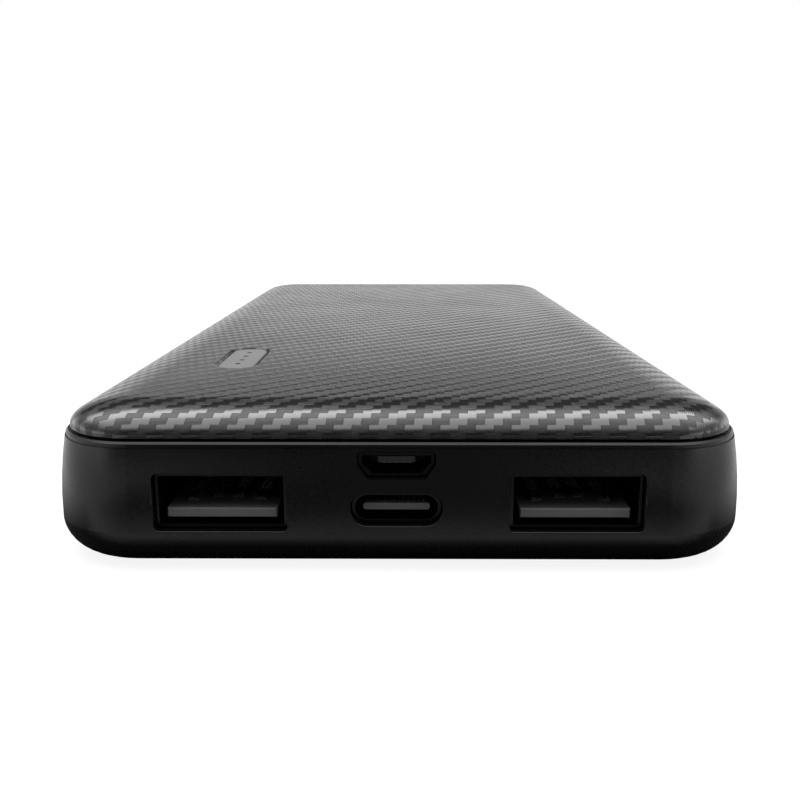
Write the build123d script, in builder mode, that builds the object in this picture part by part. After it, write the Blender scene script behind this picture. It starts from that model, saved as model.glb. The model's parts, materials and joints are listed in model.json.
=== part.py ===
"""Slim power bank: a tray and a textured cover around two stacked pouch cells and a circuit board.

Millimetres, +Z up. The origin is at the centre of the base. The face with the sockets looks along -Y.
"""
import os

from build123d import *

# ---------------------------------------------------------------- driving dimensions
LENGTH = 149.6
WIDTH = 72.8
HEIGHT = 16.3
CORNER_RADIUS = 9.5

# The tray's outer section: a rounded base, a slightly barrelled side, and a stepped rim with a small bevel.
BASE_ROUND_WIDE = 4.4
BASE_ROUND_HIGH = 4.0
SIDE_LEAN = 0.8
RIM_BASE_Z = 12.65
RIM_STEP = 0.12
RIM_BEVEL = 0.2
SEAM_Z = 13.25

# The cover's outer section: a short edge, then a wide shallow rounding up to the flat top.
SEAM_GAP = 0.22
COVER_SETBACK = 1.4
COVER_EDGE = 0.25
COVER_ROUND_WIDE = 6.9

# Inside of the case.
FLOOR = 1.6
CAVITY_INSET = 2.9
COVER_UNDER_Z = 14.95
SKIRT_CLEARANCE = 0.1
SKIRT_WALL = 0.9
SKIRT_BOTTOM_Z = 11.6

# Standard sockets: outer size of each metal shell, and the wall of the sheet it is bent from.
SHEET = 0.3
APERTURE_CLEARANCE = 0.14
USB_A_WIDE, USB_A_HIGH, USB_A_DEEP = 13.14, 5.68, 13.9
USB_C_WIDE, USB_C_HIGH, USB_C_DEEP = 8.94, 3.16, 7.3
MICRO_WIDE, MICRO_HIGH, MICRO_DEEP = 7.5, 2.46, 5.2
USB_A_X, USB_A_Z = 17.75, 7.22
PORT_X = -0.2
SHELL_SETBACK = 1.1

# The main board lies between the USB-C socket below it and the micro-USB socket on it.
BOARD_THICK = 1.6
BOARD_Z = USB_A_Z + 0.93
BOARD_TOP = BOARD_Z + BOARD_THICK
BOARD_WIDE, BOARD_DEEP, BOARD_CORNER = 61.4, 37.6, 3.4
BOARD_SETBACK = 3.4
USB_C_Z = BOARD_Z - USB_C_HIGH / 2 - 0.02
MICRO_Z = BOARD_TOP + MICRO_HIGH / 2 + 0.02

# The push button is a long plate with a row of pinholes for the charge lamps.
BUTTON_X, BUTTON_BACK = -20.85, 32.5
BUTTON_WIDE, BUTTON_LONG = 4.6, 15.0
BUTTON_RECESS = 0.14
BUTTON_GAP = 0.15
BUTTON_TRAVEL = 0.3
PINHOLE_RADIUS = 0.36
LAMP_PITCH = 2.85
LAMP_COUNT = 4
SWITCH_BACK = 25.3

# Two pouch cells lie one above the other behind the board.
CELL_WIDE, CELL_THICK = 61.0, 5.9
CELL_BACK = 46.2
CELL_END_GAP = 4.4
TAPE_THICK = 0.2
SPACER_THICK = 0.4

SEAL_LONG = 1.0
PROTECT_BACK, PROTECT_THICK = 43.4, 0.8
PROTECT_WIDE, PROTECT_LOW, PROTECT_HIGH = 44.0, 3.4, 12.6
LEAD_Z, LEAD_RUN, LEAD_RADIUS, LEAD_BEND = 11.4, 3.8, 0.55, 1.1
LEAD_XS = {"negative_lead": -4.0, "positive_lead": 16.0}
TAB_X, TAB_WIDE, TAB_THICK = 12.0, 5.0, 0.2

# Board screws.
SCREW_X, SCREW_BACK = 27.5, 37.0
SCREW_RADIUS, SCREW_HEAD_RADIUS, SCREW_HEAD_HIGH = 0.8, 1.6, 1.1
SCREW_CROSS_LONG, SCREW_CROSS_WIDE, SCREW_CROSS_DEEP = 1.7, 0.35, 0.6

# Socket details.
MICRO_SLANT = 1.0
APERTURE_CHAMFER = 0.15
APERTURE_CHAMFER_START = 0.1
TONGUE_SETBACK = 1.4
USB_A_TONGUE_WIDE, USB_A_TONGUE_THICK = 11.1, 1.0
USB_A_TONGUE_Z = USB_A_Z - 1.4
USB_A_BLOCK = 2.4
CONTACT_BACK, CONTACT_WIDE, CONTACT_HUMP = 3.8, 1.1, 0.7
CONTACT_HALF_HUMP, CONTACT_THICK = 1.3, 0.2
CONTACT_PLACES = {-3.5: 0.0, -1.0: 1.0, 1.0: 1.0, 3.5: 0.0}
BLOCK_CLEARANCE = 0.02
TONGUE_CHAMFER = 0.12
USB_C_TONGUE_WIDE, USB_C_TONGUE_THICK, USB_C_TONGUE_ROUND = 6.69, 0.7, 0.3
USB_C_STEP_WIDE, USB_C_STEP_HIGH, USB_C_STEP_LONG = 7.2, 1.3, 1.2
USB_C_BLOCK = 1.0
USB_C_PADS, USB_C_PAD_PITCH = 12, 0.5
USB_C_PAD_WIDE, USB_C_PAD_LONG, USB_C_PAD_THICK, USB_C_PAD_BACK = 0.25, 2.4, 0.06, 1.9
MICRO_TONGUE_WIDE, MICRO_TONGUE_THICK, MICRO_TONGUE_RISE = 3.7, 0.62, 0.45
MICRO_BLOCK = 0.9
MICRO_PADS, MICRO_PAD_PITCH = 5, 0.65
MICRO_PAD_WIDE, MICRO_PAD_LONG, MICRO_PAD_THICK, MICRO_PAD_BACK = 0.35, 2.0, 0.1, 1.2

# What stands on the board: places are (x, distance behind the socket face).
INDUCTOR_PLACE, INDUCTOR_WIDE, INDUCTOR_HIGH = (9.0, 27.0), 7.6, 4.0
CHIP_PLACE, CHIP_WIDE, CHIP_HIGH = (-2.5, 25.0), 5.0, 0.9
CHIP_MARK_PLACE, CHIP_MARK_RADIUS = (-4.4, 26.9), 0.25
CONTROLLER_PLACE = (-2.5, 34.5)
CONTROLLER_WIDE, CONTROLLER_LONG, CONTROLLER_HIGH, CONTROLLER_LIFT = 9.9, 3.9, 1.4, 0.15
LEG_COUNT, LEG_PITCH, LEG_WIDE = 8, 1.27, 0.4
CAPACITOR_PLACE, CAPACITOR_LONG, CAPACITOR_WIDE = (16.5, 27.0), 3.2, 1.6
RESISTOR_PLACE, RESISTOR_WIDE, RESISTOR_LONG, RESISTOR_HIGH = (7.5, 36.0), 0.8, 1.6, 0.5

# Screw bosses and the snap tabs between skirt and tray.
SCREW_DEEP = 5.5
BOSS_RADIUS = 2.1
SNAP_LONG, SNAP_HIGH, SNAP_Z = 8.0, 0.6, 12.0
SNAP_YS = (-40.0, 0.0, 40.0)
SKIRT_NOTCH = 1.3

# Button, light guide and switch levels.
POCKET_BEVEL = 0.35
PLATE_EDGE = 0.18
FLANGE_REACH = 0.9
STEM_RADIUS = 1.1
FLANGE_TOP = COVER_UNDER_Z - 0.12
FLANGE_THICK = 0.7
GUIDE_TOP = 13.25
GUIDE_WIDE, GUIDE_END, GUIDE_ROUND = 3.4, 1.1, 0.4
GUIDE_HOLLOW_WIDE, GUIDE_HOLLOW_HIGH = 1.8, 1.7
LENS_RADIUS, LENS_HIGH = 0.7, 0.15
LAMP_SHIFT = 0.15
LAMP_BASE_WIDE, LAMP_BASE_LONG, LAMP_BASE_HIGH = 0.8, 1.6, 0.25
LAMP_LENS_LONG, LAMP_LENS_HIGH = 1.0, 0.35
SWITCH_WIDE, SWITCH_LONG, SWITCH_HIGH = 3.0, 3.4, 1.9
TERMINAL_X, TERMINAL_Y = 1.9, 1.1
TERMINAL_WIDE, TERMINAL_LONG, TERMINAL_HIGH = 0.8, 0.6, 0.2
PLUNGER_GAP, PLUNGER_EDGE = 0.12, 0.15
PLUNGER_RADIUS, PLUNGER_SUNK = 0.8, 0.4
PLUNGER_TOP = 12.3
STEM_GAP = 0.05

FRONT_Y = -LENGTH / 2
BUTTON_Y = FRONT_Y + BUTTON_BACK
SWITCH_Y = FRONT_Y + SWITCH_BACK
USB_A_SIDES = {"left": -USB_A_X, "right": USB_A_X}
SCREW_PLACES = [(-SCREW_X, FRONT_Y + SCREW_BACK), (SCREW_X, FRONT_Y + SCREW_BACK)]
BASE = (Align.CENTER, Align.CENTER, Align.MIN)
LAMP_YS = [BUTTON_Y + LAMP_SHIFT + (i - (LAMP_COUNT - 1) / 2) * LAMP_PITCH for i in range(LAMP_COUNT)]


# ---------------------------------------------------------------- helpers
def save(part, name):
    """Labels a finished piece and writes its STEP file."""
    part.label = name
    export_step(part, f"parts/{name}.step")


def facing_front(back):
    """A plane parallel to the socket face, `back` behind it. Negative amounts extrude to the rear."""
    return Plane.XZ.offset(LENGTH / 2 - back)


def rounded_body(section):
    """A body with the given half section on all four sides and round corners in plan."""
    straight_x = WIDTH / 2 - CORNER_RADIUS
    straight_y = LENGTH / 2 - CORNER_RADIUS
    corner = Plane(origin=(straight_x, straight_y, 0), x_dir=(1, 0, 0), z_dir=(0, -1, 0))
    with BuildPart() as body:
        with BuildSketch(Plane.XZ):
            add(section(WIDTH / 2))
        extrude(amount=-straight_y)
        with BuildSketch(Plane.YZ):
            add(section(LENGTH / 2))
        extrude(amount=straight_x)
        with BuildSketch(corner):
            add(section(CORNER_RADIUS))
        revolve(axis=Axis((straight_x, straight_y, 0), (0, 0, 1)), revolution_arc=90)
        mirror(about=Plane.YZ)
        mirror(about=Plane.XZ)
    return body.part


def tray_section(reach):
    """Half of the tray's outer section, from the middle out to its widest level."""
    side_top = (reach - SIDE_LEAN, RIM_BASE_Z)
    with BuildSketch() as half:
        with BuildLine():
            base = EllipticalCenterArc(
                (reach - BASE_ROUND_WIDE, BASE_ROUND_HIGH),
                BASE_ROUND_WIDE,
                BASE_ROUND_HIGH,
                -90,
                arc_size=90,
            )
            TangentArc(base @ 1, side_top, tangent=(0, 1))
            Polyline(
                side_top,
                (reach - SIDE_LEAN - RIM_STEP, RIM_BASE_Z),
                (reach - SIDE_LEAN - RIM_STEP, SEAM_Z - RIM_BEVEL),
                (reach - SIDE_LEAN - RIM_STEP - RIM_BEVEL, SEAM_Z),
                (0, SEAM_Z),
                (0, 0),
                base @ 0,
            )
        make_face()
    return half.sketch


def cover_section(reach):
    """Half of the cover's outer section."""
    edge = reach - COVER_SETBACK
    round_z = SEAM_Z + SEAM_GAP + COVER_EDGE
    with BuildSketch() as half:
        with BuildLine():
            crown = EllipticalCenterArc(
                (edge - COVER_ROUND_WIDE, round_z), COVER_ROUND_WIDE, HEIGHT - round_z, 0, arc_size=90
            )
            Polyline(
                crown @ 1,
                (0, HEIGHT),
                (0, SEAM_Z + SEAM_GAP),
                (edge, SEAM_Z + SEAM_GAP),
                crown @ 0,
            )
        make_face()
    return half.sketch


def inset_outline(inset):
    """The case's plan outline, moved inwards."""
    with BuildSketch() as outline:
        RectangleRounded(WIDTH - 2 * inset, LENGTH - 2 * inset, CORNER_RADIUS - inset)
    return outline.sketch


def usb_a_outline(grow=0.0):
    """A USB-A shell seen from the front, grown by `grow` all round."""
    with BuildSketch() as outline:
        RectangleRounded(USB_A_WIDE + 2 * grow, USB_A_HIGH + 2 * grow, 0.4 + grow)
    return outline.sketch


def usb_c_outline(grow=0.0):
    """A USB-C shell seen from the front, grown by `grow` all round."""
    with BuildSketch() as outline:
        SlotOverall(USB_C_WIDE + 2 * grow, USB_C_HIGH + 2 * grow)
    return outline.sketch


def micro_outline(grow=0.0):
    """A micro-USB shell seen from the front: wide above, narrower at its base."""
    half, high = MICRO_WIDE / 2 + grow, MICRO_HIGH / 2 + grow
    with BuildSketch() as outline:
        with BuildLine():
            Polyline(
                (-half, high),
                (half, high),
                (half, 0.1),
                (half - MICRO_SLANT, -high),
                (MICRO_SLANT - half, -high),
                (-half, 0.1),
                close=True,
            )
        make_face()
        fillet(outline.vertices(), radius=0.35 + grow)
    return outline.sketch


def socket_shell(outline, x, z, deep):
    """A metal shell bent around a socket, open at the front and closed at the rear."""
    with BuildPart() as shell:
        with BuildSketch(facing_front(SHELL_SETBACK)):
            with Locations((x, z)):
                add(outline())
        extrude(amount=-deep)
        with BuildSketch(facing_front(SHELL_SETBACK)):
            with Locations((x, z)):
                add(outline(-SHEET))
        extrude(amount=SHEET - deep, mode=Mode.SUBTRACT)
    return shell.part


SOCKETS = [
    (usb_a_outline, -USB_A_X, USB_A_Z),
    (usb_a_outline, USB_A_X, USB_A_Z),
    (usb_c_outline, PORT_X, USB_C_Z),
    (micro_outline, PORT_X, MICRO_Z),
]


# ---------------------------------------------------------------- case
def make_lower_shell():
    """The tray: floor, walls, four socket apertures, two screw bosses and the snap recesses."""
    outer = rounded_body(tray_section)
    with BuildPart() as lower_shell:
        add(outer)
        with BuildSketch(Plane.XY.offset(FLOOR)):
            add(inset_outline(CAVITY_INSET))
        extrude(amount=SEAM_Z, mode=Mode.SUBTRACT)
        cavity_floor = lower_shell.faces().filter_by(Plane.XY).sort_by(Axis.Z)[1]
        fillet(cavity_floor.edges(), radius=2.2)
        for outline, x, z in SOCKETS:
            with BuildSketch(facing_front(-1)):
                with Locations((x, z)):
                    add(outline(APERTURE_CLEARANCE))
            extrude(amount=-(CAVITY_INSET + 2), mode=Mode.SUBTRACT)
            with BuildSketch(facing_front(APERTURE_CHAMFER_START)):
                with Locations((x, z)):
                    add(outline(APERTURE_CLEARANCE + APERTURE_CHAMFER))
            extrude(amount=-APERTURE_CHAMFER, taper=45, mode=Mode.SUBTRACT)
        with BuildSketch(Plane.XY.offset(FLOOR - 0.5)):
            with Locations(*SCREW_PLACES):
                Circle(BOSS_RADIUS)
        extrude(amount=BOARD_Z - FLOOR + 0.5)
        with BuildSketch(Plane.XY.offset(BOARD_Z)):
            with Locations(*SCREW_PLACES):
                Circle(SCREW_RADIUS + 0.02)
        extrude(amount=-SCREW_DEEP, mode=Mode.SUBTRACT)
        with Locations(*snap_places(CAVITY_INSET - 0.2)):
            Box(0.8, SNAP_LONG + 0.8, SNAP_HIGH + 0.4, mode=Mode.SUBTRACT)
    save(lower_shell.part, "lower_shell")


def snap_places(inset):
    """The middles of the six snap tabs, three along each long side."""
    half = WIDTH / 2 - inset
    return [(side * half, y, SNAP_Z) for side in (-1, 1) for y in SNAP_YS]


def make_top_cover():
    """The cover: a flat top with rounded edges, a skirt inside the tray, and the button's hole."""
    outer = rounded_body(cover_section)
    skirt_outer = CAVITY_INSET + SKIRT_CLEARANCE
    with BuildPart() as top_cover:
        add(outer)
        with BuildSketch(Plane.XY.offset(SKIRT_BOTTOM_Z)):
            add(inset_outline(skirt_outer))
        extrude(amount=SEAM_Z + SEAM_GAP + 0.3 - SKIRT_BOTTOM_Z)
        with BuildSketch(Plane.XY.offset(SKIRT_BOTTOM_Z)):
            add(inset_outline(skirt_outer + SKIRT_WALL))
        extrude(amount=COVER_UNDER_Z - SKIRT_BOTTOM_Z, mode=Mode.SUBTRACT)
        under = top_cover.faces().filter_by(Plane.XY).group_by(Axis.Z)[-2].sort_by(SortBy.AREA)[-1]
        fillet(under.edges(), radius=0.7)
        with Locations(*snap_places(skirt_outer)):
            Box(0.5, SNAP_LONG, SNAP_HIGH)
        with Locations((PORT_X, FRONT_Y + skirt_outer + SKIRT_WALL / 2, SKIRT_BOTTOM_Z)):
            Box(MICRO_WIDE + 1.6, SKIRT_WALL + 1, 2 * SKIRT_NOTCH, mode=Mode.SUBTRACT)
        with BuildSketch(Plane.XY.offset(HEIGHT + 1)):
            with Locations((BUTTON_X, BUTTON_Y)):
                SlotOverall(BUTTON_LONG + 2 * BUTTON_GAP, BUTTON_WIDE + 2 * BUTTON_GAP, rotation=90)
        extrude(amount=-4, mode=Mode.SUBTRACT)
        with BuildSketch(Plane.XY.offset(HEIGHT)):
            with Locations((BUTTON_X, BUTTON_Y)):
                SlotOverall(
                    BUTTON_LONG + 2 * (BUTTON_GAP + POCKET_BEVEL),
                    BUTTON_WIDE + 2 * (BUTTON_GAP + POCKET_BEVEL),
                    rotation=90,
                )
        extrude(amount=-POCKET_BEVEL, taper=45, mode=Mode.SUBTRACT)
    save(top_cover.part, "top_cover")


# ---------------------------------------------------------------- button, lamps and switch
def make_power_button():
    """The plate in the cover, its captive flange, its pinholes and the stem over the switch."""
    plate_top = HEIGHT - BUTTON_RECESS
    with BuildPart() as power_button:
        with BuildSketch(Plane.XY.offset(plate_top)):
            with Locations((BUTTON_X, BUTTON_Y)):
                SlotOverall(BUTTON_LONG, BUTTON_WIDE, rotation=90)
        extrude(amount=FLANGE_TOP - plate_top)
        fillet(power_button.faces().sort_by(Axis.Z)[-1].edges(), radius=PLATE_EDGE)
        with BuildSketch(Plane.XY.offset(FLANGE_TOP)):
            with Locations((BUTTON_X, BUTTON_Y)):
                SlotOverall(BUTTON_LONG + 2 * FLANGE_REACH, BUTTON_WIDE + 2 * FLANGE_REACH, rotation=90)
        extrude(amount=-FLANGE_THICK)
        with BuildSketch(Plane.XY.offset(FLANGE_TOP - FLANGE_THICK)):
            with Locations((BUTTON_X, SWITCH_Y)):
                Circle(STEM_RADIUS)
        extrude(amount=PLUNGER_TOP + STEM_GAP - (FLANGE_TOP - FLANGE_THICK))
        with BuildSketch(Plane.XY.offset(HEIGHT)):
            with Locations(*[(BUTTON_X, y) for y in LAMP_YS]):
                Circle(PINHOLE_RADIUS)
        extrude(amount=-3, mode=Mode.SUBTRACT)
    save(power_button.part, "power_button")


def make_light_guide():
    """A clear block that stands over the lamps and carries their light up to the pinholes."""
    middle_y = BUTTON_Y + LAMP_SHIFT
    long = LAMP_PITCH * (LAMP_COUNT - 1) + 2 * GUIDE_END
    with BuildPart() as light_guide:
        with BuildSketch(Plane.XY.offset(BOARD_TOP)):
            with Locations((BUTTON_X, middle_y)):
                Rectangle(GUIDE_WIDE, long)
        extrude(amount=GUIDE_TOP - BOARD_TOP)
        fillet(light_guide.edges().filter_by(Axis.Z), radius=GUIDE_ROUND)
        with BuildSketch(Plane.XY.offset(BOARD_TOP)):
            with Locations((BUTTON_X, middle_y)):
                Rectangle(GUIDE_HOLLOW_WIDE, long + 1)
        extrude(amount=GUIDE_HOLLOW_HIGH, mode=Mode.SUBTRACT)
        with BuildSketch(Plane.XY.offset(GUIDE_TOP)):
            with Locations(*[(BUTTON_X, y) for y in LAMP_YS]):
                Circle(LENS_RADIUS)
        extrude(amount=LENS_HIGH)
    save(light_guide.part, "light_guide")


def make_indicator_lamps():
    """Four surface-mounted lamps in a row under the light guide."""
    with BuildPart() as indicator_lamps:
        for y in LAMP_YS:
            with Locations((BUTTON_X, y, BOARD_TOP)):
                Box(LAMP_BASE_WIDE, LAMP_BASE_LONG, LAMP_BASE_HIGH, align=BASE)
            with Locations((BUTTON_X, y, BOARD_TOP + LAMP_BASE_HIGH)):
                Box(LAMP_BASE_WIDE, LAMP_LENS_LONG, LAMP_LENS_HIGH, align=BASE)
    save(indicator_lamps.part, "indicator_lamps")


def make_switch():
    """The switch under the button: its body, its terminals and its plunger."""
    with BuildPart() as switch_body:
        with Locations((BUTTON_X, SWITCH_Y, BOARD_TOP)):
            Box(SWITCH_WIDE, SWITCH_LONG, SWITCH_HIGH, align=BASE)
        fillet(switch_body.edges().filter_by(Axis.Z), radius=0.3)
        with BuildSketch(Plane.XY.offset(BOARD_TOP + SWITCH_HIGH)):
            with Locations((BUTTON_X, SWITCH_Y)):
                Circle(PLUNGER_RADIUS + PLUNGER_GAP)
        extrude(amount=-(PLUNGER_SUNK + BUTTON_TRAVEL + 0.2), mode=Mode.SUBTRACT)
    save(switch_body.part, "switch_body")

    with BuildPart() as switch_terminals:
        for side_x in (-1, 1):
            for side_y in (-1, 1):
                place_x = BUTTON_X + side_x * TERMINAL_X
                place_y = SWITCH_Y + side_y * TERMINAL_Y
                with Locations((place_x, place_y, BOARD_TOP)):
                    Box(TERMINAL_WIDE, TERMINAL_LONG, TERMINAL_HIGH, align=BASE)
    save(switch_terminals.part, "switch_terminals")

    with BuildPart() as switch_plunger:
        with BuildSketch(Plane.XY.offset(BOARD_TOP + SWITCH_HIGH - PLUNGER_SUNK)):
            with Locations((BUTTON_X, SWITCH_Y)):
                Circle(PLUNGER_RADIUS)
        extrude(amount=PLUNGER_TOP - (BOARD_TOP + SWITCH_HIGH - PLUNGER_SUNK))
        fillet(switch_plunger.faces().sort_by(Axis.Z)[-1].edges(), radius=PLUNGER_EDGE)
    save(switch_plunger.part, "switch_plunger")


# ---------------------------------------------------------------- sockets
def make_usb_a(side, x):
    """One USB-A socket: shell, tongue with its rear block, and four spring contacts."""
    save(socket_shell(usb_a_outline, x, USB_A_Z, USB_A_DEEP), f"usb_a_{side}_shell")

    block_back = SHELL_SETBACK + USB_A_DEEP - SHEET - USB_A_BLOCK
    with BuildPart() as tongue:
        with BuildSketch(facing_front(TONGUE_SETBACK)):
            with Locations((x, USB_A_TONGUE_Z)):
                Rectangle(USB_A_TONGUE_WIDE, USB_A_TONGUE_THICK)
        extrude(amount=TONGUE_SETBACK - block_back)
        chamfer(tongue.faces().sort_by(Axis.Y)[0].edges(), length=TONGUE_CHAMFER)
        with BuildSketch(facing_front(block_back)):
            with Locations((x, USB_A_Z)):
                add(usb_a_outline(-SHEET - BLOCK_CLEARANCE))
        extrude(amount=BLOCK_CLEARANCE - USB_A_BLOCK)
    save(tongue.part, f"usb_a_{side}_tongue")

    surface = USB_A_TONGUE_Z + USB_A_TONGUE_THICK / 2
    with BuildPart() as contacts:
        for offset, start in CONTACT_PLACES.items():
            y = FRONT_Y + CONTACT_BACK + start
            top_y = y + CONTACT_HALF_HUMP
            end_y = top_y + CONTACT_HALF_HUMP
            rear_y = FRONT_Y + block_back
            strip_z = surface + CONTACT_THICK
            with BuildSketch(Plane.YZ.offset(x + offset - CONTACT_WIDE / 2)):
                with BuildLine():
                    ThreePointArc((y, surface), (top_y, surface + CONTACT_HUMP), (end_y, strip_z))
                    Polyline((end_y, strip_z), (rear_y, strip_z), (rear_y, surface), (y, surface))
                make_face()
            extrude(amount=CONTACT_WIDE)
    save(contacts.part, f"usb_a_{side}_contacts")


def make_usb_c():
    """The USB-C socket: shell, tongue with its rear block, and two rows of contact pads."""
    save(socket_shell(usb_c_outline, PORT_X, USB_C_Z, USB_C_DEEP), "usb_c_shell")

    block_back = SHELL_SETBACK + USB_C_DEEP - SHEET - USB_C_BLOCK
    with BuildPart() as usb_c_tongue:
        with BuildSketch(facing_front(TONGUE_SETBACK)):
            with Locations((PORT_X, USB_C_Z)):
                RectangleRounded(USB_C_TONGUE_WIDE, USB_C_TONGUE_THICK, USB_C_TONGUE_ROUND)
        extrude(amount=TONGUE_SETBACK - block_back)
        with BuildSketch(facing_front(block_back - USB_C_STEP_LONG)):
            with Locations((PORT_X, USB_C_Z)):
                RectangleRounded(USB_C_STEP_WIDE, USB_C_STEP_HIGH, 0.5)
        extrude(amount=-USB_C_STEP_LONG)
        with BuildSketch(facing_front(block_back)):
            with Locations((PORT_X, USB_C_Z)):
                add(usb_c_outline(-SHEET - BLOCK_CLEARANCE))
        extrude(amount=BLOCK_CLEARANCE - USB_C_BLOCK)
    save(usb_c_tongue.part, "usb_c_tongue")

    with BuildPart() as usb_c_contacts:
        for side in (-1, 1):
            pad_z = USB_C_Z + side * (USB_C_TONGUE_THICK + USB_C_PAD_THICK) / 2
            for i in range(USB_C_PADS):
                pad_x = PORT_X + (i - (USB_C_PADS - 1) / 2) * USB_C_PAD_PITCH
                with Locations((pad_x, FRONT_Y + TONGUE_SETBACK + USB_C_PAD_BACK, pad_z)):
                    Box(USB_C_PAD_WIDE, USB_C_PAD_LONG, USB_C_PAD_THICK)
    save(usb_c_contacts.part, "usb_c_contacts")


def make_micro_usb():
    """The micro-USB socket: shell, tongue with its rear block, and five contacts."""
    save(socket_shell(micro_outline, PORT_X, MICRO_Z, MICRO_DEEP), "micro_usb_shell")

    block_back = SHELL_SETBACK + MICRO_DEEP - SHEET - MICRO_BLOCK
    tongue_z = MICRO_Z + MICRO_TONGUE_RISE
    pad_y = FRONT_Y + TONGUE_SETBACK + MICRO_PAD_BACK
    pad_z = tongue_z - (MICRO_TONGUE_THICK + MICRO_PAD_THICK) / 2
    with BuildPart() as micro_usb_tongue:
        with BuildSketch(facing_front(TONGUE_SETBACK)):
            with Locations((PORT_X, tongue_z)):
                Rectangle(MICRO_TONGUE_WIDE, MICRO_TONGUE_THICK)
        extrude(amount=TONGUE_SETBACK - block_back)
        with BuildSketch(facing_front(block_back)):
            with Locations((PORT_X, MICRO_Z)):
                add(micro_outline(-SHEET - BLOCK_CLEARANCE))
        extrude(amount=BLOCK_CLEARANCE - MICRO_BLOCK)
    save(micro_usb_tongue.part, "micro_usb_tongue")

    with BuildPart() as micro_usb_contacts:
        for i in range(MICRO_PADS):
            with Locations((PORT_X + (i - (MICRO_PADS - 1) / 2) * MICRO_PAD_PITCH, pad_y, pad_z)):
                Box(MICRO_PAD_WIDE, MICRO_PAD_LONG, MICRO_PAD_THICK)
    save(micro_usb_contacts.part, "micro_usb_contacts")


# ---------------------------------------------------------------- main board and what is on it
def make_main_board():
    """The circuit board, notched around the two USB-A shells and drilled for its screws."""
    with BuildPart() as main_board:
        with BuildSketch(Plane.XY.offset(BOARD_Z)):
            with Locations((0, FRONT_Y + BOARD_SETBACK + BOARD_DEEP / 2)):
                RectangleRounded(BOARD_WIDE, BOARD_DEEP, BOARD_CORNER)
            for x in USB_A_SIDES.values():
                with Locations((x, FRONT_Y)):
                    Rectangle(
                        USB_A_WIDE + 0.3,
                        SHELL_SETBACK + USB_A_DEEP + 0.2,
                        align=(Align.CENTER, Align.MIN),
                        mode=Mode.SUBTRACT,
                    )
            with Locations(*SCREW_PLACES):
                Circle(SCREW_RADIUS + 0.15, mode=Mode.SUBTRACT)
        extrude(amount=BOARD_THICK)
    save(main_board.part, "main_board")


def make_power_parts():
    """The power stage: an inductor with its core and winding cap, and the converter chip."""
    with BuildPart() as power_inductor:
        with Locations((INDUCTOR_PLACE[0], FRONT_Y + INDUCTOR_PLACE[1], BOARD_TOP)):
            Box(INDUCTOR_WIDE, INDUCTOR_WIDE, INDUCTOR_HIGH, align=BASE)
        fillet(power_inductor.edges().filter_by(Axis.Z), radius=1.2)
        fillet(power_inductor.faces().sort_by(Axis.Z)[-1].edges(), radius=0.35)
    save(power_inductor.part, "power_inductor")

    with BuildPart() as power_chip:
        with Locations((CHIP_PLACE[0], FRONT_Y + CHIP_PLACE[1], BOARD_TOP)):
            Box(CHIP_WIDE, CHIP_WIDE, CHIP_HIGH, align=BASE)
        with BuildSketch(Plane.XY.offset(BOARD_TOP + CHIP_HIGH)):
            with Locations((CHIP_MARK_PLACE[0], FRONT_Y + CHIP_MARK_PLACE[1])):
                Circle(CHIP_MARK_RADIUS)
        extrude(amount=-0.1, mode=Mode.SUBTRACT)
    save(power_chip.part, "power_chip")


def make_controller():
    """The controller chip and its two rows of legs, each leg stepping down to the board."""
    centre_x, centre_y = CONTROLLER_PLACE[0], FRONT_Y + CONTROLLER_PLACE[1]
    with BuildPart() as controller_chip:
        with Locations((centre_x, centre_y, BOARD_TOP + CONTROLLER_LIFT)):
            Box(CONTROLLER_WIDE, CONTROLLER_LONG, CONTROLLER_HIGH, align=BASE)
        chamfer(controller_chip.faces().sort_by(Axis.Z)[-1].edges(), length=0.15)
    save(controller_chip.part, "controller_chip")

    with BuildPart() as controller_legs:
        for i in range(LEG_COUNT):
            leg_x = centre_x + (i - (LEG_COUNT - 1) / 2) * LEG_PITCH
            for side in (-1, 1):
                with BuildSketch(Plane.YZ.offset(leg_x - LEG_WIDE / 2)):
                    with BuildLine():
                        Polyline(
                            (centre_y + side * 1.95, BOARD_TOP + 0.95),
                            (centre_y + side * 2.45, BOARD_TOP + 0.95),
                            (centre_y + side * 2.60, BOARD_TOP + 0.20),
                            (centre_y + side * 3.05, BOARD_TOP + 0.20),
                            (centre_y + side * 3.05, BOARD_TOP),
                            (centre_y + side * 2.42, BOARD_TOP),
                            (centre_y + side * 2.27, BOARD_TOP + 0.75),
                            (centre_y + side * 1.95, BOARD_TOP + 0.75),
                            close=True,
                        )
                    make_face()
                extrude(amount=LEG_WIDE)
    save(controller_legs.part, "controller_legs")


def make_small_parts():
    """Ceramic capacitors around the converter and resistors near the controller."""
    with BuildPart() as capacitors:
        with BuildSketch(Plane.XY.offset(BOARD_TOP)):
            with Locations((CAPACITOR_PLACE[0], FRONT_Y + CAPACITOR_PLACE[1])):
                with GridLocations(4.2, 2.6, 2, 4):
                    RectangleRounded(CAPACITOR_LONG, CAPACITOR_WIDE, 0.2)
        extrude(amount=CAPACITOR_WIDE)
    save(capacitors.part, "capacitors")

    with BuildPart() as resistors:
        with BuildSketch(Plane.XY.offset(BOARD_TOP)):
            with Locations((RESISTOR_PLACE[0], FRONT_Y + RESISTOR_PLACE[1])):
                with GridLocations(1.5, 2.4, 6, 2):
                    Rectangle(RESISTOR_WIDE, RESISTOR_LONG)
        extrude(amount=RESISTOR_HIGH)
    save(resistors.part, "resistors")


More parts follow.
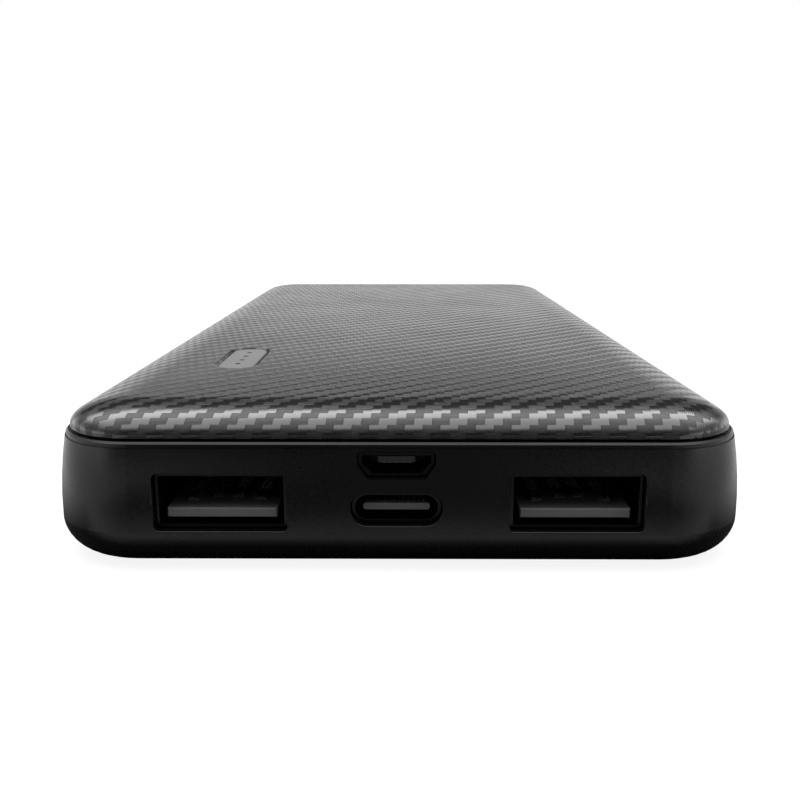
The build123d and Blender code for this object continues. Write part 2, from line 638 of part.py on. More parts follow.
def make_board_screws():
    """Two pan-head screws with cross recesses, through the board into the bosses."""
    with BuildPart() as board_screws:
        with BuildSketch(Plane.XY.offset(BOARD_TOP)):
            with Locations(*SCREW_PLACES):
                Circle(SCREW_HEAD_RADIUS)
        extrude(amount=SCREW_HEAD_HIGH)
        fillet(board_screws.faces().sort_by(Axis.Z)[-2:].edges(), radius=0.4)
        with BuildSketch(Plane.XY.offset(BOARD_TOP)):
            with Locations(*SCREW_PLACES):
                Circle(SCREW_RADIUS)
        extrude(amount=-(SCREW_DEEP + BOARD_THICK - 0.3))
        with BuildSketch(Plane.XY.offset(BOARD_TOP + SCREW_HEAD_HIGH)):
            with Locations(*SCREW_PLACES):
                Rectangle(SCREW_CROSS_LONG, SCREW_CROSS_WIDE)
                Rectangle(SCREW_CROSS_WIDE, SCREW_CROSS_LONG)
        extrude(amount=-SCREW_CROSS_DEEP, mode=Mode.SUBTRACT)
    save(board_screws.part, "board_screws")


# ---------------------------------------------------------------- battery
def make_cells():
    """Two pouch cells, each with a folded side edge and a thin front seal, and their tape."""
    cell_start = FRONT_Y + CELL_BACK
    cell_end = LENGTH / 2 - CELL_END_GAP
    long = cell_end - cell_start
    middle = (cell_start + cell_end) / 2
    lower_z = FLOOR + TAPE_THICK
    upper_z = lower_z + CELL_THICK + SPACER_THICK
    for name, base_z in (("battery_cell_lower", lower_z), ("battery_cell_upper", upper_z)):
        with BuildPart() as cell:
            with BuildSketch(Plane.XY.offset(base_z)):
                with Locations((0, middle)):
                    RectangleRounded(CELL_WIDE - 1.0, long, 2.0)
            extrude(amount=CELL_THICK)
            fillet(cell.faces().sort_by(Axis.Z)[-1].edges(), radius=0.9)
            fillet(cell.faces().sort_by(Axis.Z)[0].edges(), radius=0.9)
            with Locations((0, middle, base_z + CELL_THICK / 2)):
                Box(CELL_WIDE, long - 5, 3.6)
            with Locations((0, cell_start, base_z + CELL_THICK / 2)):
                Box(CELL_WIDE - 4, 2 * SEAL_LONG, 0.3)
        save(cell.part, name)

    pads = (
        ("floor_tape", FLOOR, TAPE_THICK),
        ("cell_spacer", lower_z + CELL_THICK, SPACER_THICK),
        ("top_foam", upper_z + CELL_THICK, COVER_UNDER_Z - upper_z - CELL_THICK),
    )
    for name, base_z, thick in pads:
        with BuildPart() as pad:
            with BuildSketch(Plane.XY.offset(base_z)):
                with Locations((0, middle)):
                    RectangleRounded(CELL_WIDE - 14, long - 24, 1.5)
            extrude(amount=thick)
        save(pad.part, name)


def make_protection():
    """The protection board across the cells' front, the tabs welded to it and its two leads."""
    lower_mid = FLOOR + TAPE_THICK + CELL_THICK / 2
    upper_mid = lower_mid + CELL_THICK + SPACER_THICK
    board_y = FRONT_Y + PROTECT_BACK
    with BuildPart() as protection_board:
        with BuildSketch(facing_front(PROTECT_BACK)):
            with Locations((0, (PROTECT_LOW + PROTECT_HIGH) / 2)):
                RectangleRounded(PROTECT_WIDE, PROTECT_HIGH - PROTECT_LOW, 0.6)
        extrude(amount=-PROTECT_THICK)
    save(protection_board.part, "protection_board")

    tab_start = board_y + PROTECT_THICK
    tab_long = FRONT_Y + CELL_BACK - SEAL_LONG - tab_start
    with BuildPart() as cell_tabs:
        for x in (-TAB_X, TAB_X):
            for z in (lower_mid, upper_mid):
                with Locations((x, tab_start + tab_long / 2, z)):
                    Box(TAB_WIDE, tab_long, TAB_THICK)
    save(cell_tabs.part, "cell_tabs")

    for name, x in LEAD_XS.items():
        with BuildPart() as lead:
            with BuildLine() as route:
                FilletPolyline(
                    (x, board_y, LEAD_Z),
                    (x, board_y - LEAD_RUN, LEAD_Z),
                    (x, board_y - LEAD_RUN, BOARD_TOP),
                    radius=LEAD_BEND,
                )
            with BuildSketch(Plane(origin=route.wire() @ 0, z_dir=route.wire() % 0)):
                Circle(LEAD_RADIUS)
            sweep()
        save(lead.part, name)


def main():
    os.makedirs("parts", exist_ok=True)
    make_lower_shell()
    make_top_cover()
    make_power_button()
    make_light_guide()
    make_indicator_lamps()
    make_switch()
    for side, x in USB_A_SIDES.items():
        make_usb_a(side, x)
    make_usb_c()
    make_micro_usb()
    make_main_board()
    make_power_parts()
    make_controller()
    make_small_parts()
    make_board_screws()
    make_cells()
    make_protection()


main()
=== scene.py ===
"""Looks of the power bank: a woven-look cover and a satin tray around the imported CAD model."""
import json
import math

import bmesh
import bpy
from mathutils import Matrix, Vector


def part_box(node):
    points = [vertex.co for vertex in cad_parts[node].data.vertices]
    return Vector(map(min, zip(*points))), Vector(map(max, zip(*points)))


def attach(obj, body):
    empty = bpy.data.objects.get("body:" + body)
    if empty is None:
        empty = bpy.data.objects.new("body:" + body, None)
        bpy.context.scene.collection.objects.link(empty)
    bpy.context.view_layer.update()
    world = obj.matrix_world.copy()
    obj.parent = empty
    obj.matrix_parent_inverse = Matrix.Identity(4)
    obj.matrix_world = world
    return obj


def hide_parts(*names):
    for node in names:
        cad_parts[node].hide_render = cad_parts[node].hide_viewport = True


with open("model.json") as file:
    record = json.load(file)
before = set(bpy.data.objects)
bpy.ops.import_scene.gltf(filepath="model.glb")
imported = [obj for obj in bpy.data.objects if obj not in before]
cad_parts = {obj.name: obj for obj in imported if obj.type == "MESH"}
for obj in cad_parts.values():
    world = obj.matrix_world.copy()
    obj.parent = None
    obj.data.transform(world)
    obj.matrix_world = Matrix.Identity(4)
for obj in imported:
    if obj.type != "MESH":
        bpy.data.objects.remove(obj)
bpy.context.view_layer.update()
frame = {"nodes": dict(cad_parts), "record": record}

MM = 0.001

# ---------------------------------------------------------------- sizes read from the frame
SHELL_LOW, SHELL_HIGH = (Vector(corner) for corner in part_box("lower_shell"))
COVER_LOW, COVER_HIGH = (Vector(corner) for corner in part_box("top_cover"))
BUTTON_LOW, BUTTON_HIGH = (Vector(corner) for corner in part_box("power_button"))
WIDTH = SHELL_HIGH.x - SHELL_LOW.x
LENGTH = SHELL_HIGH.y - SHELL_LOW.y
HEIGHT = COVER_HIGH.z
SEAM_Z = SHELL_HIGH.z
FRONT_Y = SHELL_LOW.y
COVER_SETBACK = COVER_LOW.x - SHELL_LOW.x

CORNER_RADIUS = 9.5 * MM
SEAM_GAP = 0.22 * MM
COVER_EDGE_Z = SEAM_Z + SEAM_GAP
COVER_EDGE = 0.25 * MM
COVER_ROUND_WIDE = 6.9 * MM


# ---------------------------------------------------------------- mesh helpers
def new_object(name, bm, body, replaces):
    """Makes an object from a bmesh, rides it on a body and lets it stand for CAD nodes."""
    mesh = bpy.data.meshes.new(name)
    bm.normal_update()
    bm.to_mesh(mesh)
    bm.free()
    piece = bpy.data.objects.new(name, mesh)
    bpy.context.scene.collection.objects.link(piece)
    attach(piece, body)
    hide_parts(*replaces)
    return piece


def smooth_by_angle(mesh, degrees):
    """Smooth faces, with sharp edges wherever two faces meet at more than the angle."""
    bm = bmesh.new()
    bm.from_mesh(mesh)
    limit = math.radians(degrees)
    for face in bm.faces:
        face.smooth = True
    for edge in bm.edges:
        edge.smooth = len(edge.link_faces) == 2 and edge.calc_face_angle(0.0) < limit
    bm.to_mesh(mesh)
    bm.free()


CORNER_STEPS = 28
SIDE_STEPS = 36
END_STEPS = 18


def plan_points():
    """The plan outline moved in by the corner radius, as (point, outward normal)."""
    half_x = WIDTH / 2 - CORNER_RADIUS
    half_y = LENGTH / 2 - CORNER_RADIUS
    corners = ((half_x, half_y, 0), (-half_x, half_y, 90), (-half_x, -half_y, 180), (half_x, -half_y, 270))
    points = []
    for index, (x, y, start) in enumerate(corners):
        for step in range(CORNER_STEPS + 1):
            angle = math.radians(start + 90 * step / CORNER_STEPS)
            points.append((Vector((x, y)), Vector((math.cos(angle), math.sin(angle)))))
        next_x, next_y, _ = corners[(index + 1) % 4]
        steps = END_STEPS if index % 2 == 0 else SIDE_STEPS
        normal = points[-1][1]
        for step in range(1, steps):
            share = step / steps
            points.append((Vector((x + (next_x - x) * share, y + (next_y - y) * share)), normal))
    return points


PLAN = plan_points()


def ring(bm, inset, z, layer, travelled):
    """A ring of vertices at an inset and height. The weave layer keeps its unrolled place."""
    vertices = []
    for base, normal in PLAN:
        place = base + normal * (CORNER_RADIUS - inset)
        vertex = bm.verts.new((place.x, place.y, z))
        unrolled = base + normal * (CORNER_RADIUS - inset + travelled)
        vertex[layer] = (unrolled.x, unrolled.y, 0.0)
        vertices.append(vertex)
    return vertices


def bridge(bm, lower, upper, flip=False):
    """Quads between two rings with the same number of vertices."""
    count = len(lower)
    for i in range(count):
        j = (i + 1) % count
        corners = [lower[i], lower[j], upper[j], upper[i]]
        if flip:
            corners.reverse()
        bm.faces.new(corners)


def stadium(bm, centre, long, wide, z, layer, steps=24):
    """A ring of vertices round a slot with round ends, long along Y."""
    radius = wide / 2
    reach = long / 2 - radius
    vertices = []
    for side, start in ((1, 0), (-1, 180)):
        for step in range(steps + 1):
            angle = math.radians(start + 180 * step / steps)
            x = centre.x + radius * math.cos(angle)
            y = centre.y + side * reach + radius * math.sin(angle)
            vertex = bm.verts.new((x, y, z))
            vertex[layer] = (x, y, 0.0)
            vertices.append(vertex)
    return vertices


def fill_between(bm, outer, inner):
    """Fills the flat ring between two closed loops."""
    edges = []
    for loop in (outer, inner):
        for i, vertex in enumerate(loop):
            after = loop[(i + 1) % len(loop)]
            edge = bm.edges.get((vertex, after)) or bm.edges.new((vertex, after))
            edges.append(edge)
    bmesh.ops.triangle_fill(bm, edges=edges, use_beauty=True)


# ---------------------------------------------------------------- cover
SLOT_CENTRE = (BUTTON_LOW + BUTTON_HIGH) / 2
PLATE_LONG = 15.0 * MM
PLATE_WIDE = 4.6 * MM
BUTTON_GAP = 0.15 * MM
POCKET_BEVEL = 0.35 * MM
POCKET_EASE = 0.04 * MM
POCKET_EASE_BELOW = 0.03 * MM
CROWN_STEPS = 30
CROWN_FINE = 8
EDGE_BREAK = 0.06 * MM
EDGE_BREAK_RUN = 0.08 * MM
SHARP_ANGLE = 32
# Inside: a plain skirt that reaches into the tray, then a rounded corner up to the ceiling.
SKIRT_OUT = 3.0 * MM
SKIRT_IN = 3.9 * MM
SKIRT_LOW = 11.6 * MM
CEILING = 14.95 * MM
CEILING_ROUND = 0.7 * MM
CEILING_HALFWAY = 0.2 * MM


def crown_profile():
    """(inset, z, distance gained by unrolling) up the cover's rounded edge."""
    round_z = COVER_EDGE_Z + COVER_EDGE
    high = HEIGHT - round_z
    flat = COVER_SETBACK + COVER_ROUND_WIDE
    levels = [(flat, HEIGHT, 0.0)]
    travelled = 0.0
    before = (flat, HEIGHT)
    for step in range(1, CROWN_STEPS * CROWN_FINE + 1):
        angle = math.pi / 2 * (1 - step / (CROWN_STEPS * CROWN_FINE))
        inset = flat - COVER_ROUND_WIDE * math.cos(angle)
        z = round_z + high * math.sin(angle)
        travelled += math.dist(before, (inset, z))
        before = (inset, z)
        if step % CROWN_FINE == 0:
            levels.append((inset, z, travelled - (flat - inset)))
    side_gain = travelled - COVER_ROUND_WIDE + COVER_EDGE - EDGE_BREAK
    levels.append((COVER_SETBACK, COVER_EDGE_Z + EDGE_BREAK, side_gain))
    levels.append((COVER_SETBACK + EDGE_BREAK, COVER_EDGE_Z, side_gain + EDGE_BREAK_RUN))
    return levels


def make_cover():
    """The cover as one closed shell: crown, rim, skirt, underside and the button's pocket."""
    bm = bmesh.new()
    layer = bm.verts.layers.float_vector.new("weave")
    inside = (
        (SKIRT_OUT, COVER_EDGE_Z),
        (SKIRT_OUT, SKIRT_LOW),
        (SKIRT_IN, SKIRT_LOW),
        (SKIRT_IN, CEILING - CEILING_ROUND),
        (SKIRT_IN + CEILING_HALFWAY, CEILING - CEILING_HALFWAY),
        (SKIRT_IN + CEILING_ROUND, CEILING),
    )
    levels = crown_profile()
    levels += [(inset, z, levels[-1][2]) for inset, z in inside]
    rings = [ring(bm, inset, z, layer, gained) for inset, z, gained in levels]
    for upper, lower in zip(rings, rings[1:]):
        bridge(bm, lower, upper)
    bevel_z = HEIGHT - POCKET_BEVEL
    pocket_levels = (
        (BUTTON_GAP + POCKET_BEVEL, HEIGHT),
        (BUTTON_GAP + POCKET_EASE, bevel_z + POCKET_EASE),
        (BUTTON_GAP, bevel_z - POCKET_EASE_BELOW),
        (BUTTON_GAP, CEILING),
    )
    pocket = [
        stadium(bm, SLOT_CENTRE, PLATE_LONG + 2 * g, PLATE_WIDE + 2 * g, z, layer) for g, z in pocket_levels
    ]
    for upper, lower in zip(pocket, pocket[1:]):
        bridge(bm, lower, upper, flip=True)
    fill_between(bm, rings[0], pocket[0])
    fill_between(bm, rings[-1], pocket[-1])
    bmesh.ops.recalc_face_normals(bm, faces=bm.faces)
    cover = new_object("cover_shell", bm, "case", ["top_cover"])
    smooth_by_angle(cover.data, SHARP_ANGLE)
    return cover


# ---------------------------------------------------------------- material helpers
class Nodes:
    """A short way to build a node material."""

    def __init__(self, name):
        self.material = bpy.data.materials.new(name)
        self.material.use_nodes = True
        self.tree = self.material.node_tree
        self.shader = self.tree.nodes["Principled BSDF"]

    def link(self, value, socket):
        if isinstance(value, (int, float, tuple)):
            socket.default_value = value
        else:
            self.tree.links.new(value, socket)

    def math(self, operation, a, b=0.0):
        node = self.tree.nodes.new("ShaderNodeMath")
        node.operation = operation
        for value, socket in zip((a, b), node.inputs):
            self.link(value, socket)
        return node.outputs[0]

    def blend(self, kind, first, output, factor, a, b):
        """A mix node. Its two inputs start at socket `first`, and `output` is its result."""
        node = self.tree.nodes.new("ShaderNodeMix")
        node.data_type = kind
        self.link(factor, node.inputs["Factor"])
        self.link(a, node.inputs[first])
        self.link(b, node.inputs[first + 1])
        return node.outputs[output]

    def mix(self, factor, a, b):
        return self.blend("RGBA", 6, 2, factor, a, b)

    def mix_value(self, factor, a, b):
        return self.blend("FLOAT", 2, 0, factor, a, b)

    def mix_vector(self, factor, a, b):
        return self.blend("VECTOR", 4, 1, factor, a, b)

    def attribute(self, name):
        node = self.tree.nodes.new("ShaderNodeAttribute")
        node.attribute_name = name
        return node.outputs["Vector"]

    def split(self, vector):
        node = self.tree.nodes.new("ShaderNodeSeparateXYZ")
        self.link(vector, node.inputs[0])
        return node.outputs

    def combine(self, x, y, z):
        node = self.tree.nodes.new("ShaderNodeCombineXYZ")
        for value, socket in zip((x, y, z), node.inputs):
            self.link(value, socket)
        return node.outputs[0]

    def place(self):
        return self.tree.nodes.new("ShaderNodeTexCoord").outputs["Object"]

    def noise(self, vector, scale, detail=3.0, roughness=0.5):
        node = self.tree.nodes.new("ShaderNodeTexNoise")
        self.link(vector, node.inputs["Vector"])
        node.inputs["Scale"].default_value = scale
        node.inputs["Detail"].default_value = detail
        node.inputs["Roughness"].default_value = roughness
        return node.outputs["Fac"]

    def remap(self, value, low, high, to_low, to_high):
        node = self.tree.nodes.new("ShaderNodeMapRange")
        for entry, socket in zip((value, low, high, to_low, to_high), node.inputs):
            self.link(entry, socket)
        return node.outputs[0]

    def vary(self, noise, low, high):
        """Spreads a noise, which mostly stays between 0.3 and 0.7, over a range."""
        return self.remap(noise, 0.3, 0.7, low, high)

    def bump(self, height, distance, strength=1.0, normal=None):
        node = self.tree.nodes.new("ShaderNodeBump")
        node.inputs["Strength"].default_value = strength
        node.inputs["Distance"].default_value = distance
        self.link(height, node.inputs["Height"])
        if normal is not None:
            self.link(normal, node.inputs["Normal"])
        return node.outputs[0]

    def set(self, **values):
        for name, value in values.items():
            self.link(value, self.shader.inputs[name.replace("_", " ")])


# ---------------------------------------------------------------- materials
TOW = 0.88 * MM
FIBRE_PITCH = 0.2 * MM
SKEW = math.tan(math.radians(5))
FIBRE_RELIEF = 0.003 * MM
TWILL_REPEAT = 4.0
CRIMP = 0.007 * MM
TOW_SHOULDER = 6.0
TOW_SAG = 0.4
STREAK_STRETCH = 9.0
STREAK_SCALE = 700.0
STREAK_RANGE = (0.72, 1.28)
# The weft is coloured lighter than the warp, though both are the same black fibre: painted sheen for the
# weft's wider reflection.
WARP_COLOUR = (0.016, 0.016, 0.0165, 1)
WEFT_PAINTED_SHEEN_COLOUR = (0.032, 0.032, 0.033, 1)
WEFT_ROUGHNESS, WARP_ROUGHNESS = 0.19, 0.15
WEFT_IOR, WARP_IOR = 1.26, 1.62
ANISOTROPY = 0.5


def weave_material():
    """A 2/2 twill of flat tows, slightly crimped, with fine fibres and a sheen that follows them. Its colour
    also holds painted sheen, the weft lighter than the warp, and painted shade where the tows dip.
    """
    n = Nodes("cover_weave")
    across, along, _ = n.split(n.attribute("weave"))
    across = n.math("SUBTRACT", across, n.math("MULTIPLY", along, SKEW))
    u = n.math("DIVIDE", across, TOW)
    v = n.math("DIVIDE", along, TOW)
    i = n.math("FLOOR", u)
    j = n.math("FLOOR", v)
    cell_u = n.math("SUBTRACT", n.math("SUBTRACT", u, i), 0.5)
    cell_v = n.math("SUBTRACT", n.math("SUBTRACT", v, j), 0.5)
    phase = n.math("FLOORED_MODULO", n.math("SUBTRACT", i, j), TWILL_REPEAT)
    # The warp lies on top for two whole tows of every four.
    warp = n.math("LESS_THAN", phase, TWILL_REPEAT / 2 - 0.5)
    warp_run = n.math("ADD", n.math("SUBTRACT", v, i), 1.0)
    weft_run = n.math("SUBTRACT", n.math("SUBTRACT", u, j), 2.0)
    warp_along = n.math("FLOORED_MODULO", warp_run, TWILL_REPEAT)
    weft_along = n.math("FLOORED_MODULO", weft_run, TWILL_REPEAT)

    def tow_height(cell, run):
        side = n.math("POWER", n.math("ABSOLUTE", n.math("MULTIPLY", cell, 2.0)), TOW_SHOULDER)
        arch = n.math("SINE", n.math("MULTIPLY", run, math.pi / 2))
        return n.math("MULTIPLY", n.math("SUBTRACT", 1.0, n.math("MULTIPLY", side, TOW_SAG)), arch)

    height = n.mix_value(warp, tow_height(cell_v, weft_along), tow_height(cell_u, warp_along))

    def fibres(position):
        return n.math("SINE", n.math("MULTIPLY", position, 2 * math.pi / FIBRE_PITCH))

    line = n.mix_value(warp, fibres(along), fibres(across))
    warp_place = n.combine(n.math("MULTIPLY", across, STREAK_STRETCH), along, i)
    weft_place = n.combine(across, n.math("MULTIPLY", along, STREAK_STRETCH), j)
    warp_streak = n.noise(warp_place, STREAK_SCALE, 2.0)
    weft_streak = n.noise(weft_place, STREAK_SCALE, 2.0)
    streak = n.vary(n.mix_value(warp, weft_streak, warp_streak), *STREAK_RANGE)
    # Painted shade: the colour is darkened where the tows dip low, at their sides and where they pass under.
    painted_gap_shade = n.remap(height, 0.0, 0.35, 0.6, 1.0)

    # Tow colour with painted sheen: the weft lighter than the warp.
    tow_tone_and_painted_sheen = n.mix(warp, WEFT_PAINTED_SHEEN_COLOUR, WARP_COLOUR)
    weave_tone_with_painted_light = n.tree.nodes.new("ShaderNodeVectorMath")
    weave_tone_with_painted_light.operation = "SCALE"
    n.link(tow_tone_and_painted_sheen, weave_tone_with_painted_light.inputs[0])
    n.link(n.math("MULTIPLY", streak, painted_gap_shade), weave_tone_with_painted_light.inputs["Scale"])

    worn = n.noise(n.place(), 60.0, 4.0)
    rough = n.math("ADD", n.mix_value(warp, WEFT_ROUGHNESS, WARP_ROUGHNESS), n.vary(worn, -0.03, 0.03))
    relief = n.bump(line, FIBRE_RELIEF, 1.0, n.bump(height, CRIMP))
    n.set(Base_Color=weave_tone_with_painted_light.outputs[0], Roughness=rough, Normal=relief)
    n.set(Tangent=n.mix_vector(warp, (0.0, 1.0, 0.0), (1.0, 0.0, 0.0)))
    n.shader.inputs["Anisotropic"].default_value = ANISOTROPY
    n.set(IOR=n.mix_value(warp, WEFT_IOR, WARP_IOR))
    return n.material


def moulded_plastic(name, colour, roughness, grain=0.35 * MM, depth=0.006 * MM, specular=0.5):
    """Moulded plastic, ferrite or ceramic: a fine even grain, faint marks and rubbed patches."""
    n = Nodes(name)
    place = n.place()
    flow = n.noise(place, 45.0, 4.0)
    fine = n.noise(place, 1 / grain, 2.0)
    dark = tuple(c * 0.85 for c in colour) + (1,)
    light = tuple(c * 1.2 for c in colour) + (1,)
    rubbed = n.remap(flow, 0.35, 0.7, -0.04, 0.05)
    n.set(
        Base_Color=n.mix(flow, dark, light),
        Roughness=n.math("ADD", n.vary(fine, roughness - 0.03, roughness + 0.03), rubbed),
        Normal=n.bump(fine, depth),
    )
    n.shader.inputs["Specular IOR Level"].default_value = specular
    return n.material


def drawn_metal(name, colour, roughness):
    """Rolled or plated metal with fine drawing lines."""
    n = Nodes(name)
    x, y, z = n.split(n.place())
    lines = n.noise(n.combine(n.math("MULTIPLY", x, 12.0), y, n.math("MULTIPLY", z, 12.0)), 900.0, 2.0)
    tarnish = n.noise(n.place(), 350.0, 3.0)
    dark = tuple(c * 0.8 for c in colour) + (1,)
    light = tuple(min(1.0, c * 1.1) for c in colour) + (1,)
    n.set(
        Base_Color=n.mix(tarnish, dark, light),
        Roughness=n.vary(lines, roughness - 0.05, roughness + 0.08),
        Normal=n.bump(lines, 0.004 * MM),
    )
    n.shader.inputs["Metallic"].default_value = 1.0
    return n.material


def circuit_board():
    """Green solder mask, a little darker and lower along a network of lines."""
    n = Nodes("circuit_board")
    place = n.place()
    lines = n.tree.nodes.new("ShaderNodeTexVoronoi")
    lines.distance = "CHEBYCHEV"
    lines.feature = "DISTANCE_TO_EDGE"
    n.link(place, lines.inputs["Vector"])
    lines.inputs["Scale"].default_value = 420.0
    track = n.remap(lines.outputs["Distance"], 0.04, 0.08, 0.0, 1.0)
    colour = n.mix(track, (0.02, 0.10, 0.045, 1), (0.03, 0.17, 0.075, 1))
    cloud = n.noise(place, 200.0)
    n.set(
        Base_Color=colour,
        Roughness=n.vary(cloud, 0.28, 0.4),
        Normal=n.bump(track, 0.02 * MM),
    )
    return n.material


def clear_plastic():
    """Frosted clear plastic of the light guide."""
    n = Nodes("clear_plastic")
    frost = n.noise(n.place(), 2500.0, 2.0)
    n.set(
        Base_Color=n.mix(frost, (0.72, 0.74, 0.76, 1), (0.86, 0.87, 0.88, 1)),
        Roughness=n.vary(frost, 0.2, 0.38),
        Normal=n.bump(frost, 0.004 * MM),
    )
    n.shader.inputs["Transmission Weight"].default_value = 0.6
    n.shader.inputs["IOR"].default_value = 1.49
    return n.material


def cell_foil():
    """The cell's aluminium laminate: satin with shallow dents and crinkles."""
    n = Nodes("cell_foil")
    dents = n.noise(n.place(), 90.0, 3.0)
    crinkle = n.noise(n.place(), 600.0, 4.0)
    n.set(
        Base_Color=n.mix(dents, (0.5, 0.51, 0.53, 1), (0.68, 0.69, 0.71, 1)),
        Roughness=n.vary(crinkle, 0.26, 0.42),
        Normal=n.bump(crinkle, 0.03 * MM, 1.0, n.bump(dents, 0.15 * MM)),
    )
    n.shader.inputs["Metallic"].default_value = 1.0
    return n.material


def soft_sheet(name, colour, cell):
    """Foam, tape or the sleeve of a lead: a matt surface with its cells or fibres."""
    n = Nodes(name)
    fine = n.noise(n.place(), 1 / cell, 4.0, 0.65)
    dark = tuple(c * 0.75 for c in colour) + (1,)
    light = tuple(min(1.0, c * 1.15) for c in colour) + (1,)
    n.set(
        Base_Color=n.mix(fine, dark, light),
        Roughness=n.vary(fine, 0.7, 0.85),
        Normal=n.bump(fine, 0.03 * MM),
    )
    return n.material


MATERIALS = {
    "case_black": moulded_plastic("case_black", (0.003, 0.003, 0.0031), 0.26, specular=0.33),
    "cover_weave": weave_material(),
    "button_grey": moulded_plastic("button_grey", (0.145, 0.145, 0.147), 0.34, 0.25 * MM, 0.003 * MM),
    "clear_plastic": clear_plastic(),
    "lamp_white": moulded_plastic("lamp_white", (0.8, 0.8, 0.74), 0.3, 0.2 * MM, 0.002 * MM),
    "part_black": moulded_plastic("part_black", (0.02, 0.02, 0.021), 0.5, 0.15 * MM),
    "tin_plate": drawn_metal("tin_plate", (0.70, 0.70, 0.68), 0.3),
    # socket_steel is coloured near black, far darker than bare steel: painted shade on the socket shells.
    "socket_steel": drawn_metal("socket_steel", (0.035, 0.035, 0.036), 0.35),
    "socket_plastic": moulded_plastic("socket_plastic", (0.10, 0.10, 0.102), 0.5, 0.2 * MM, 0.003 * MM),
    "contact_nickel": drawn_metal("contact_nickel", (0.74, 0.72, 0.68), 0.22),
    "circuit_board": circuit_board(),
    "ferrite": moulded_plastic("ferrite", (0.06, 0.06, 0.062), 0.6, 0.12 * MM, 0.01 * MM),
    "ceramic_tan": moulded_plastic("ceramic_tan", (0.42, 0.32, 0.2), 0.4, 0.2 * MM, 0.002 * MM),
    "screw_steel": drawn_metal("screw_steel", (0.58, 0.58, 0.57), 0.28),
    "cell_foil": cell_foil(),
    "tape_white": soft_sheet("tape_white", (0.74, 0.74, 0.70), 0.4 * MM),
    "foam_grey": soft_sheet("foam_grey", (0.10, 0.10, 0.11), 0.3 * MM),
    "lead_black": soft_sheet("lead_black", (0.02, 0.02, 0.02), 0.6 * MM),
    "lead_red": soft_sheet("lead_red", (0.42, 0.02, 0.02), 0.6 * MM),
}


def dress_cad_nodes():
    """Gives every CAD node the detailed material of its slot."""
    for row in frame["record"]["subparts"]:
        node = frame["nodes"][row["node"]]
        material = MATERIALS[row["material_slot"]]
        node.data.materials.clear()
        node.data.materials.append(material)


# ---------------------------------------------------------------- stage, light and camera
FLOOR_REACH = 40.0
FLOOR_GLOW = 0.88
# In reflections the floor's colour is painted light: bright beside the case and in a strip before it,
# painted shade right at the case's foot, and dark elsewhere.
SIDE_LIGHT_FROM, SIDE_LIGHT_TO = 6 * MM, 26 * MM
STRIP_LIGHT_FROM, STRIP_LIGHT_TO = 22 * MM, 7 * MM
FOOT_SHADE_FROM, FOOT_SHADE_TO = 6 * MM, 1 * MM


def make_stage():
    """A wide pale floor, evenly bright to the eye; in reflections it is dimmer, with painted light beside
    the case and before it and painted shade at its foot.
    """
    bm = bmesh.new()
    bmesh.ops.create_grid(bm, x_segments=8, y_segments=8, size=FLOOR_REACH)
    mesh = bpy.data.meshes.new("floor")
    bm.to_mesh(mesh)
    bm.free()
    floor = bpy.data.objects.new("floor", mesh)
    bpy.context.scene.collection.objects.link(floor)
    floor.location.z = SHELL_LOW.z
    n = Nodes("floor")
    speck = n.noise(n.place(), 30.0)
    seen = n.mix(speck, (0.15, 0.15, 0.15, 1), (0.17, 0.17, 0.17, 1))
    across, depth, _ = n.split(n.place())
    # Masks for painted light beside the case and in a strip before it, and for painted shade at the case's
    # foot.
    beside = n.remap(n.math("ABSOLUTE", across), WIDTH / 2 + SIDE_LIGHT_FROM, WIDTH / 2 + SIDE_LIGHT_TO, 0.0, 1.0)
    near = n.remap(depth, FRONT_Y - STRIP_LIGHT_FROM, FRONT_Y - STRIP_LIGHT_TO, 0.0, 1.0)
    clear = n.remap(depth, FRONT_Y - FOOT_SHADE_FROM, FRONT_Y - FOOT_SHADE_TO, 1.0, 0.0)
    lit = n.math("MAXIMUM", n.math("MULTIPLY", near, clear), beside)
    # Painted reflection colour: bright where the painted-light masks are on, dark elsewhere, seen only in
    # reflections.
    painted_reflected_floor_light = n.mix(lit, (0.03, 0.03, 0.03, 1), (0.45, 0.45, 0.45, 1))
    path = n.tree.nodes.new("ShaderNodeLightPath")
    to_eye = path.outputs["Is Camera Ray"]
    n.set(Base_Color=n.mix(to_eye, painted_reflected_floor_light, seen), Roughness=0.9)
    n.set(Emission_Strength=n.math("MULTIPLY", to_eye, FLOOR_GLOW))
    n.shader.inputs["Emission Color"].default_value = (1, 1, 1, 1)
    n.shader.inputs["Specular IOR Level"].default_value = 0.0
    floor.data.materials.append(n.material)


# Radiance seen by the surfaces, by angle from the far horizon (0) over the top (90) to the near one (180).
SKY_OVER = (
    (0, 0.85),
    (6, 0.85),
    (9.5, 0.8),
    (11, 0.2),
    (11.8, 0.0),
    (42, 0.0),
    (47, 5.5),
    (62, 5.5),
    (70, 3.4),
    (108, 3.0),
    (128, 0.3),
    (150, 0.02),
)
# The same to the left and right, by height above the horizon.
SKY_SIDE = ((0, 2.2), (10, 1.8), (20, 0.6), (45, 0.35), (90, 0.35))
SIDE_FROM, SIDE_TO = 0.55, 0.85


def sky_ramp(tree, share, stops, full):
    """A ramp that holds radiance over a share of `full` degrees."""
    ramp = tree.nodes.new("ShaderNodeValToRGB")
    elements = ramp.color_ramp.elements
    while len(elements) < len(stops):
        elements.new(1.0)
    for element, (degrees, radiance) in zip(elements, stops):
        element.position = degrees / full
        element.color = (radiance, radiance, radiance, 1)
    tree.links.new(share, ramp.inputs["Fac"])
    return ramp.outputs["Color"]


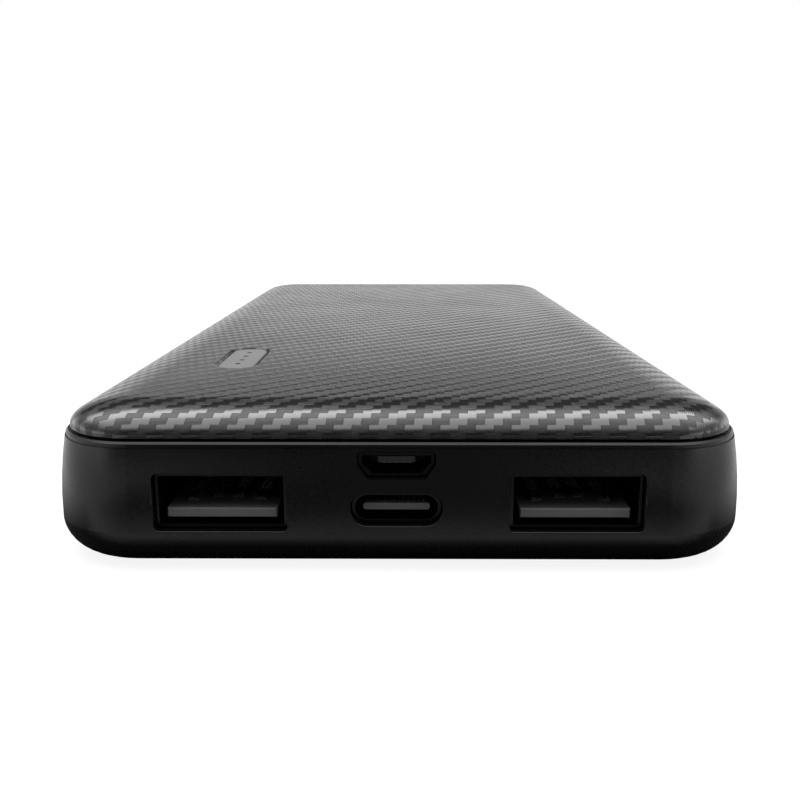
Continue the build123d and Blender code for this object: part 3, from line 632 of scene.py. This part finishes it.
def make_world():
    """White to the eye. In reflections: a lit far horizon, a wide softbox overhead, a dark room in front."""
    world = bpy.data.worlds.new("studio")
    world.use_nodes = True
    tree = world.node_tree

    def calc(operation, *values):
        node = tree.nodes.new("ShaderNodeMath")
        node.operation = operation
        for value, socket in zip(values, node.inputs):
            if isinstance(value, (int, float)):
                socket.default_value = value
            else:
                tree.links.new(value, socket)
        return node.outputs[0]

    split = tree.nodes.new("ShaderNodeSeparateXYZ")
    tree.links.new(tree.nodes.new("ShaderNodeTexCoord").outputs["Generated"], split.inputs[0])
    x, y, z = split.outputs
    above = calc("MAXIMUM", z, 0.0)
    over = calc("DIVIDE", calc("ARCTAN2", above, y), math.pi)
    height = calc("DIVIDE", calc("ARCSINE", above), math.pi / 2)
    sideways = tree.nodes.new("ShaderNodeMapRange")
    sideways.interpolation_type = "SMOOTHSTEP"
    sideways.inputs["From Min"].default_value = SIDE_FROM
    sideways.inputs["From Max"].default_value = SIDE_TO
    tree.links.new(calc("ABSOLUTE", x), sideways.inputs["Value"])
    blend = tree.nodes.new("ShaderNodeMix")
    blend.data_type = "RGBA"
    tree.links.new(sideways.outputs[0], blend.inputs["Factor"])
    tree.links.new(sky_ramp(tree, over, SKY_OVER, 180), blend.inputs[6])
    tree.links.new(sky_ramp(tree, height, SKY_SIDE, 90), blend.inputs[7])
    eye = tree.nodes.new("ShaderNodeMix")
    eye.data_type = "RGBA"
    eye.inputs[7].default_value = (1, 1, 1, 1)
    path = tree.nodes.new("ShaderNodeLightPath")
    tree.links.new(path.outputs["Is Camera Ray"], eye.inputs["Factor"])
    tree.links.new(blend.outputs[2], eye.inputs[6])
    tree.links.new(eye.outputs[2], tree.nodes["Background"].inputs["Color"])
    bpy.context.scene.world = world


CAMERA_LENS = 39.04
CAMERA_AHEAD = 81.32 * MM
CAMERA_HIGH = 36.05 * MM
CAMERA_PITCH = 12.66
CAMERA_TURN = 0.34
CAMERA_SIDE = 0.64 * MM


def make_camera():
    """The photograph's viewpoint: close in front of the sockets, looking slightly down."""
    data = bpy.data.cameras.new("camera")
    data.sensor_width = 36.0
    data.lens = CAMERA_LENS
    data.clip_start = 0.005
    camera = bpy.data.objects.new("camera", data)
    bpy.context.scene.collection.objects.link(camera)
    camera.location = (CAMERA_SIDE, FRONT_Y - CAMERA_AHEAD, CAMERA_HIGH)
    camera.rotation_euler = (math.radians(90 - CAMERA_PITCH), 0.0, math.radians(CAMERA_TURN))
    bpy.context.scene.camera = camera


dress_cad_nodes()
cover = make_cover()
cover.data.materials.append(MATERIALS["cover_weave"])
make_stage()
make_world()
make_camera()

bpy.context.scene.view_settings.view_transform = "Standard"
